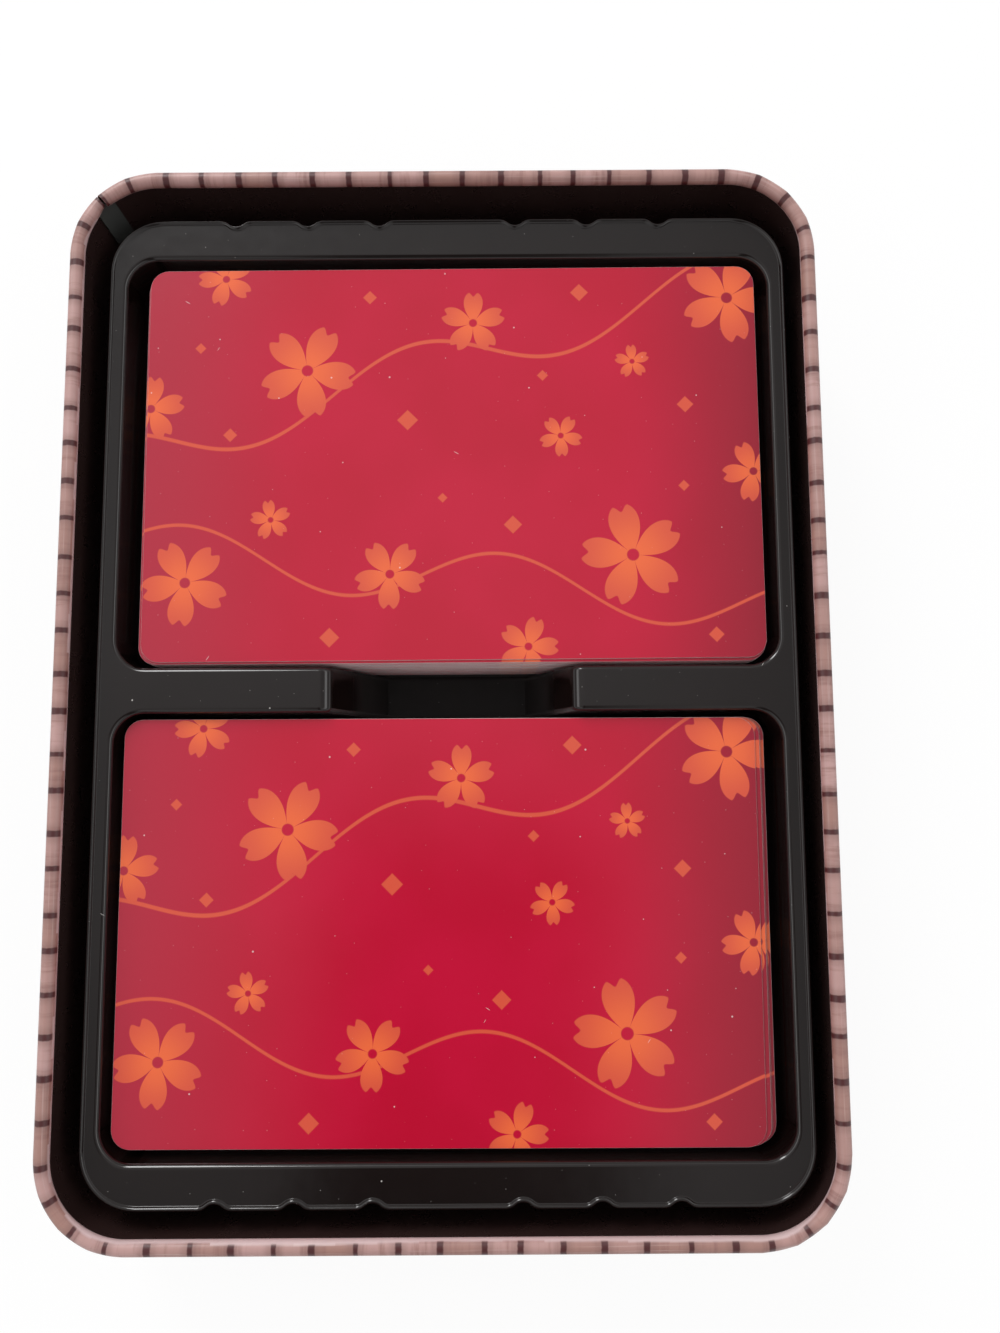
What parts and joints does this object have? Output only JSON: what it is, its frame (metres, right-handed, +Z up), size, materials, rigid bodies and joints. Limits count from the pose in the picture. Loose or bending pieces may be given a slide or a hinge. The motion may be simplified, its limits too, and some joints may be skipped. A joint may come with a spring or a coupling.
{
  "type": "card game tin",
  "caption": "Open rectangular slip-lid tin with a curled printed rim, standing in its turned-over lid, with a black moulded insert whose pockets hold stacks of playing cards.",
  "frame": {"origin": "middle of the lid's face on the table, under the middle of the tin", "axes": "+Z up out of the tin, +X along a card's long side, +Y from the lower stack to the upper stack"},
  "size_m": [0.1068, 0.1478, 0.0245],
  "materials": {
    "printed_tin": "printed and varnished tinplate, mauve slats with dark lines",
    "black_tin": "gloss black lacquered tinplate",
    "black_plastic": "gloss black vacuum-formed sheet",
    "card_stock": "coated card, crimson printed back, white edges"
  },
  "bodies": {
    "lid": {"lid": "printed_tin"},
    "base": {"tin_wall": "printed_tin", "bottom_panel": "black_tin"},
    "tray": {"insert_tray": "black_plastic"},
    "upper_deck": {"upper_deck": "card_stock"},
    "upper_card_08": {"upper_card_08": "card_stock"},
    "upper_card_07": {"upper_card_07": "card_stock"},
    "upper_card_06": {"upper_card_06": "card_stock"},
    "upper_card_05": {"upper_card_05": "card_stock"},
    "upper_card_04": {"upper_card_04": "card_stock"},
    "upper_card_03": {"upper_card_03": "card_stock"},
    "upper_card_02": {"upper_card_02": "card_stock"},
    "upper_card_01": {"upper_card_01": "card_stock"},
    "lower_deck": {"lower_deck": "card_stock"},
    "lower_card_08": {"lower_card_08": "card_stock"},
    "lower_card_07": {"lower_card_07": "card_stock"},
    "lower_card_06": {"lower_card_06": "card_stock"},
    "lower_card_05": {"lower_card_05": "card_stock"},
    "lower_card_04": {"lower_card_04": "card_stock"},
    "lower_card_03": {"lower_card_03": "card_stock"},
    "lower_card_02": {"lower_card_02": "card_stock"},
    "lower_card_01": {"lower_card_01": "card_stock"}
  },
  "joints": [
    {"name": "base_lift", "type": "slide", "parent": "lid", "child": "base", "axis": [0, 0, 1], "range_m": [0, 0.03]},
    {"name": "tray_lift", "type": "slide", "parent": "base", "child": "tray", "axis": [0, 0, 1], "range_m": [0, 0.04]},
    {"name": "upper_deck_lift", "type": "slide", "parent": "tray", "child": "upper_deck", "axis": [0, 0, 1], "range_m": [0, 0.03]},
    {"name": "upper_card_08_lift", "type": "slide", "parent": "upper_deck", "child": "upper_card_08", "axis": [0, 0, 1], "range_m": [0, 0.012]},
    {"name": "upper_card_07_lift", "type": "slide", "parent": "upper_card_08", "child": "upper_card_07", "axis": [0, 0, 1], "range_m": [0, 0.012]},
    {"name": "upper_card_06_lift", "type": "slide", "parent": "upper_card_07", "child": "upper_card_06", "axis": [0, 0, 1], "range_m": [0, 0.012]},
    {"name": "upper_card_05_lift", "type": "slide", "parent": "upper_card_06", "child": "upper_card_05", "axis": [0, 0, 1], "range_m": [0, 0.012]},
    {"name": "upper_card_04_lift", "type": "slide", "parent": "upper_card_05", "child": "upper_card_04", "axis": [0, 0, 1], "range_m": [0, 0.012]},
    {"name": "upper_card_03_lift", "type": "slide", "parent": "upper_card_04", "child": "upper_card_03", "axis": [0, 0, 1], "range_m": [0, 0.012]},
    {"name": "upper_card_02_lift", "type": "slide", "parent": "upper_card_03", "child": "upper_card_02", "axis": [0, 0, 1], "range_m": [0, 0.012]},
    {"name": "upper_card_01_lift", "type": "slide", "parent": "upper_card_02", "child": "upper_card_01", "axis": [0, 0, 1], "range_m": [0, 0.012]},
    {"name": "lower_deck_lift", "type": "slide", "parent": "tray", "child": "lower_deck", "axis": [0, 0, 1], "range_m": [0, 0.03]},
    {"name": "lower_card_08_lift", "type": "slide", "parent": "lower_deck", "child": "lower_card_08", "axis": [0, 0, 1], "range_m": [0, 0.012]},
    {"name": "lower_card_07_lift", "type": "slide", "parent": "lower_card_08", "child": "lower_card_07", "axis": [0, 0, 1], "range_m": [0, 0.012]},
    {"name": "lower_card_06_lift", "type": "slide", "parent": "lower_card_07", "child": "lower_card_06", "axis": [0, 0, 1], "range_m": [0, 0.012]},
    {"name": "lower_card_05_lift", "type": "slide", "parent": "lower_card_06", "child": "lower_card_05", "axis": [0, 0, 1], "range_m": [0, 0.012]},
    {"name": "lower_card_04_lift", "type": "slide", "parent": "lower_card_05", "child": "lower_card_04", "axis": [0, 0, 1], "range_m": [0, 0.012]},
    {"name": "lower_card_03_lift", "type": "slide", "parent": "lower_card_04", "child": "lower_card_03", "axis": [0, 0, 1], "range_m": [0, 0.012]},
    {"name": "lower_card_02_lift", "type": "slide", "parent": "lower_card_03", "child": "lower_card_02", "axis": [0, 0, 1], "range_m": [0, 0.012]},
    {"name": "lower_card_01_lift", "type": "slide", "parent": "lower_card_02", "child": "lower_card_01", "axis": [0, 0, 1], "range_m": [0, 0.012]}
  ]
}
